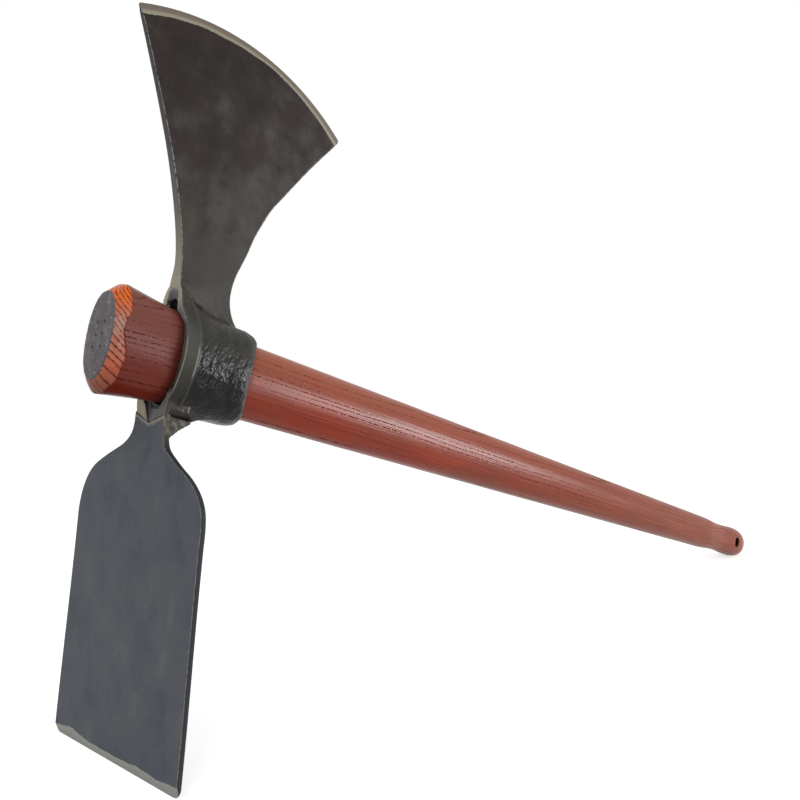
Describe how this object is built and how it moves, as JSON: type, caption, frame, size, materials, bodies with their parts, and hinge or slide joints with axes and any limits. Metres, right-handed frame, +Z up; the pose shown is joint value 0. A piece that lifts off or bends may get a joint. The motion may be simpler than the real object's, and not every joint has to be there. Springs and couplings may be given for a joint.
{
  "type": "mattock",
  "caption": "Mattock with a fan-shaped axe and a wide adze on a forged oval eye, which slides onto a tapered wooden handle with a bored knob.",
  "frame": {"origin": "on the floor, under the middle of the standing tool's box", "axes": "+Z up, +X from the head towards the knob, +Y across the tool"},
  "size_m": [0.8802, 0.118, 0.4055],
  "materials": {
    "stained_wood": "red-brown stain under gloss varnish",
    "end_coat": "dark brushed-on sealing coat",
    "black_forging": "hammered steel with black lacquer",
    "axe_scale": "brown-black forge scale with a ground edge",
    "adze_scale": "blue-grey rolling scale with a ground edge",
    "weld_bead": "rough weld with pale crust"
  },
  "bodies": {
    "handle": {"handle": "stained_wood", "end_seal": "end_coat"},
    "head": {"eye_socket": "black_forging", "axe_blade": "axe_scale", "adze_blade": "adze_scale", "adze_weld": "weld_bead"}
  },
  "joints": [
    {"name": "head_slide", "type": "slide", "parent": "handle", "child": "head", "axis": [0.9706, 0, -0.2409], "range_m": [0, 0.8]}
  ]
}
